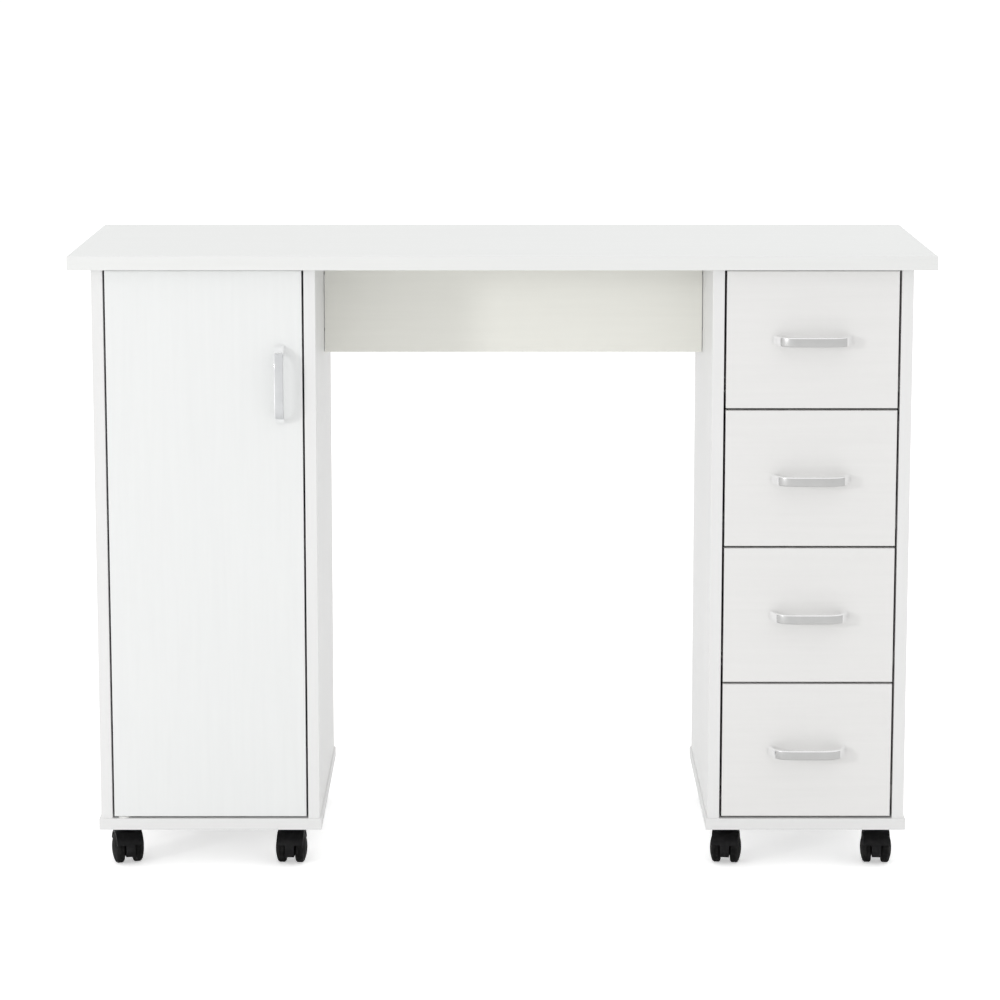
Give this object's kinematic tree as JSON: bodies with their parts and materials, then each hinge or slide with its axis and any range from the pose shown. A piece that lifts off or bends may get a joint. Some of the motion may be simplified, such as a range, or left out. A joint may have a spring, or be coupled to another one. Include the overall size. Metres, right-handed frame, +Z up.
{
  "type": "sewing table",
  "caption": "Rolling white desk: long top on two pedestals, a cabinet with a hinged door and a stack of drawers, on swivel casters.",
  "frame": {"origin": "on the floor, under the middle of the table's outline", "axes": "+X to the right as the user sees it, +Y away from the user, +Z up; the table's length lies along X"},
  "size_m": [1.1, 0.408, 0.807],
  "materials": {
    "top_melamine": "satin white melamine board with a faint grain",
    "door_melamine": "satin white melamine board",
    "drawer_melamine": "satin white melamine board",
    "panel_melamine": "satin off-white melamine board",
    "carcass_melamine": "satin white melamine board",
    "white_hardboard": "white-faced hardboard",
    "handle_chrome": "polished and satin chrome",
    "caster_black": "black moulded nylon",
    "wheel_black": "black moulded nylon wheels",
    "runner_white": "white epoxy-coated steel",
    "zinc_steel": "zinc-plated steel",
    "white_plastic": "white moulded plastic",
    "beech": "plain beech"
  },
  "bodies": {
    "carcass": {"cabinet_back": "white_hardboard", "cabinet_base": "carcass_melamine", "cabinet_inner_side": "carcass_melamine", "cabinet_outer_side": "carcass_melamine", "cabinet_runners": "runner_white", "cabinet_shelf": "carcass_melamine", "cam_bolts": "zinc_steel", "cam_locks": "zinc_steel", "caster_plates": "zinc_steel", "dowels": "beech", "drawer_unit_back": "white_hardboard", "drawer_unit_base": "carcass_melamine", "drawer_unit_inner_side": "carcass_melamine", "drawer_unit_outer_side": "carcass_melamine", "long_board_screws": "zinc_steel", "magnetic_catch": "white_plastic", "modesty_panel": "panel_melamine", "pivot_bushes": "white_plastic", "shelf_pins": "zinc_steel", "small_screws": "zinc_steel", "table_top": "top_melamine"},
    "door": {"door_panel": "door_melamine", "door_handle": "handle_chrome", "door_hardware": "zinc_steel"},
    "drawer_1": {"drawer_1_front": "drawer_melamine", "drawer_1_box": "carcass_melamine", "drawer_1_bottom": "white_hardboard", "drawer_1_handle": "handle_chrome", "drawer_1_runners": "runner_white"},
    "drawer_2": {"drawer_2_front": "drawer_melamine", "drawer_2_box": "carcass_melamine", "drawer_2_bottom": "white_hardboard", "drawer_2_handle": "handle_chrome", "drawer_2_runners": "runner_white"},
    "drawer_3": {"drawer_3_front": "drawer_melamine", "drawer_3_box": "carcass_melamine", "drawer_3_bottom": "white_hardboard", "drawer_3_handle": "handle_chrome", "drawer_3_runners": "runner_white"},
    "drawer_4": {"drawer_4_front": "drawer_melamine", "drawer_4_box": "carcass_melamine", "drawer_4_bottom": "white_hardboard", "drawer_4_handle": "handle_chrome", "drawer_4_runners": "runner_white"},
    "caster_1_swivel": {"caster_1_hood": "caster_black"},
    "caster_1_wheel_pair": {"caster_1_wheels": "wheel_black"},
    "caster_2_swivel": {"caster_2_hood": "caster_black"},
    "caster_2_wheel_pair": {"caster_2_wheels": "wheel_black"},
    "caster_3_swivel": {"caster_3_hood": "caster_black"},
    "caster_3_wheel_pair": {"caster_3_wheels": "wheel_black"},
    "caster_4_swivel": {"caster_4_hood": "caster_black"},
    "caster_4_wheel_pair": {"caster_4_wheels": "wheel_black"},
    "caster_5_swivel": {"caster_5_hood": "caster_black"},
    "caster_5_wheel_pair": {"caster_5_wheels": "wheel_black"},
    "caster_6_swivel": {"caster_6_hood": "caster_black"},
    "caster_6_wheel_pair": {"caster_6_wheels": "wheel_black"},
    "caster_7_swivel": {"caster_7_hood": "caster_black"},
    "caster_7_wheel_pair": {"caster_7_wheels": "wheel_black"},
    "caster_8_swivel": {"caster_8_hood": "caster_black"},
    "caster_8_wheel_pair": {"caster_8_wheels": "wheel_black"}
  },
  "joints": [
    {"name": "door_swing", "type": "hinge", "parent": "carcass", "child": "door", "pos_m": [-0.493, -0.1685, 0.429], "axis": [0, 0, -1], "range_deg": [0, 110]},
    {"name": "drawer_1_slide", "type": "slide", "parent": "carcass", "child": "drawer_1", "axis": [0, -1, 0], "range_m": [0, 0.24]},
    {"name": "drawer_2_slide", "type": "slide", "parent": "carcass", "child": "drawer_2", "axis": [0, -1, 0], "range_m": [0, 0.24]},
    {"name": "drawer_3_slide", "type": "slide", "parent": "carcass", "child": "drawer_3", "axis": [0, -1, 0], "range_m": [0, 0.24]},
    {"name": "drawer_4_slide", "type": "slide", "parent": "carcass", "child": "drawer_4", "axis": [0, -1, 0], "range_m": [0, 0.24]},
    {"name": "swivel_caster_1", "type": "hinge", "parent": "carcass", "child": "caster_1_swivel", "pos_m": [-0.497, -0.126, 0.02], "axis": [0, 0, 1], "continuous": true},
    {"name": "wheel_roll_caster_1", "type": "hinge", "parent": "caster_1_swivel", "child": "caster_1_wheel_pair", "pos_m": [-0.49261, -0.14034, 0.02], "axis": [-0.9563, -0.2924, 0], "continuous": true},
    {"name": "swivel_caster_2", "type": "hinge", "parent": "carcass", "child": "caster_2_swivel", "pos_m": [-0.276, -0.126, 0.02], "axis": [0, 0, 1], "continuous": true},
    {"name": "wheel_roll_caster_2", "type": "hinge", "parent": "caster_2_swivel", "child": "caster_2_wheel_pair", "pos_m": [-0.27705, -0.14096, 0.02], "axis": [-0.9976, 0.0698, 0], "continuous": true},
    {"name": "swivel_caster_3", "type": "hinge", "parent": "carcass", "child": "caster_3_swivel", "pos_m": [0.296, -0.126, 0.02], "axis": [0, 0, 1], "continuous": true},
    {"name": "wheel_roll_caster_3", "type": "hinge", "parent": "caster_3_swivel", "child": "caster_3_wheel_pair", "pos_m": [0.29391, -0.14085, 0.02], "axis": [-0.9903, 0.1392, 0], "continuous": true},
    {"name": "swivel_caster_4", "type": "hinge", "parent": "carcass", "child": "caster_4_swivel", "pos_m": [0.492, -0.126, 0.02], "axis": [0, 0, 1], "continuous": true},
    {"name": "wheel_roll_caster_4", "type": "hinge", "parent": "caster_4_swivel", "child": "caster_4_wheel_pair", "pos_m": [0.49122, -0.14098, 0.02], "axis": [-0.9986, 0.0523, 0], "continuous": true},
    {"name": "swivel_caster_5", "type": "hinge", "parent": "carcass", "child": "caster_5_swivel", "pos_m": [-0.49, 0.139, 0.02], "axis": [0, 0, 1], "continuous": true},
    {"name": "wheel_roll_caster_5", "type": "hinge", "parent": "caster_5_swivel", "child": "caster_5_wheel_pair", "pos_m": [-0.4961, 0.1527, 0.02], "axis": [0.9135, 0.4067, 0], "continuous": true},
    {"name": "swivel_caster_6", "type": "hinge", "parent": "carcass", "child": "caster_6_swivel", "pos_m": [-0.273, 0.139, 0.02], "axis": [0, 0, 1], "continuous": true},
    {"name": "wheel_roll_caster_6", "type": "hinge", "parent": "caster_6_swivel", "child": "caster_6_wheel_pair", "pos_m": [-0.26988, 0.15367, 0.02], "axis": [0.9781, -0.2079, 0], "continuous": true},
    {"name": "swivel_caster_7", "type": "hinge", "parent": "carcass", "child": "caster_7_swivel", "pos_m": [0.3, 0.139, 0.02], "axis": [0, 0, 1], "continuous": true},
    {"name": "wheel_roll_caster_7", "type": "hinge", "parent": "caster_7_swivel", "child": "caster_7_wheel_pair", "pos_m": [0.29765, 0.15382, 0.02], "axis": [0.9877, 0.1564, 0], "continuous": true},
    {"name": "swivel_caster_8", "type": "hinge", "parent": "carcass", "child": "caster_8_swivel", "pos_m": [0.49, 0.139, 0.02], "axis": [0, 0, 1], "continuous": true},
    {"name": "wheel_roll_caster_8", "type": "hinge", "parent": "caster_8_swivel", "child": "caster_8_wheel_pair", "pos_m": [0.49513, 0.1531, 0.02], "axis": [0.9397, -0.342, 0], "continuous": true}
  ]
}
